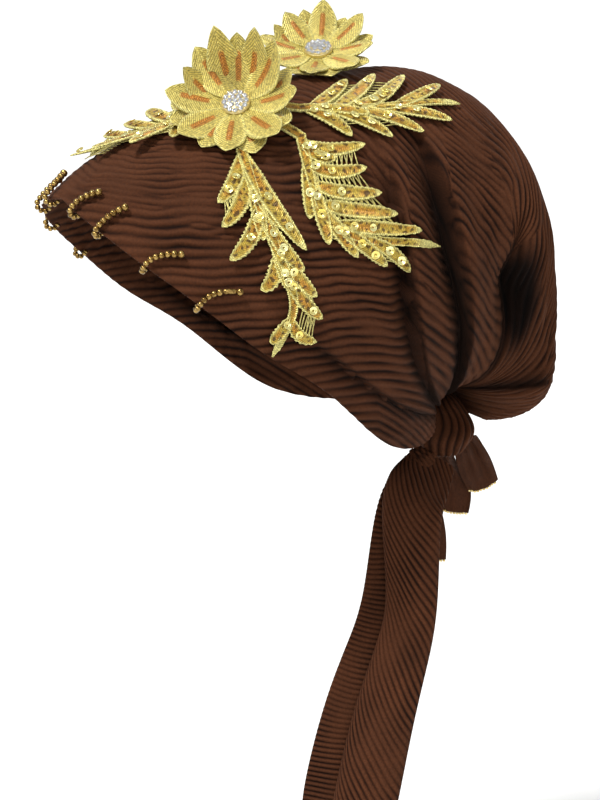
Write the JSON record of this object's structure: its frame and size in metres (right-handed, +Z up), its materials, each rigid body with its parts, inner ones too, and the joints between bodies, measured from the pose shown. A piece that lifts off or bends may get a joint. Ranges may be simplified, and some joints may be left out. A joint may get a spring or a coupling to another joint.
{
  "type": "pleated turban",
  "caption": "Slouching pleated cloth turban, hollow and open below, gathered to a nape knot with hanging tails, gold lace sprays, layered flowers with stone buttons and beaded edge picots.",
  "frame": {"origin": "centre of the head that the turban sits on, at the level of the brow band", "axes": "+Z up, the wearer faces -Y, +X is the wearer's left, the side with the long tail; the head leaves along -Z"},
  "size_m": [0.1701, 0.2571, 0.4055],
  "materials": {
    "cloth": "matt permanently pleated dark brown cloth",
    "cloth_dark": "the same cloth, gathered and in shadow",
    "gold_lace": "corded metallic thread lace with small discs",
    "gold_petal": "satin-stitched pale gold thread",
    "bead": "antique bronze beads",
    "hem_bead": "small polished gold beads",
    "stone": "clear cut stones in a silver setting"
  },
  "bodies": {
    "root": {"crown": "cloth", "knot": "cloth_dark", "long_tail": "cloth", "upper_tail": "cloth", "middle_tail": "cloth", "lower_tail": "cloth_dark", "upper_hem": "hem_bead", "middle_hem": "hem_bead", "lower_hem": "hem_bead", "picot_1": "bead", "picot_2": "bead", "picot_3": "bead", "picot_4": "bead", "picot_5": "bead", "picot_6": "bead", "picot_7": "bead", "picot_8": "bead", "spray_front": "gold_lace", "spray_back": "gold_lace", "spray_down_left": "gold_lace", "spray_down_right": "gold_lace", "flower_front_lower": "gold_petal", "flower_front_upper": "gold_petal", "flower_front_button": "stone", "flower_top_lower": "gold_petal", "flower_top_upper": "gold_petal", "flower_top_button": "stone"}
  },
  "joints": []
}
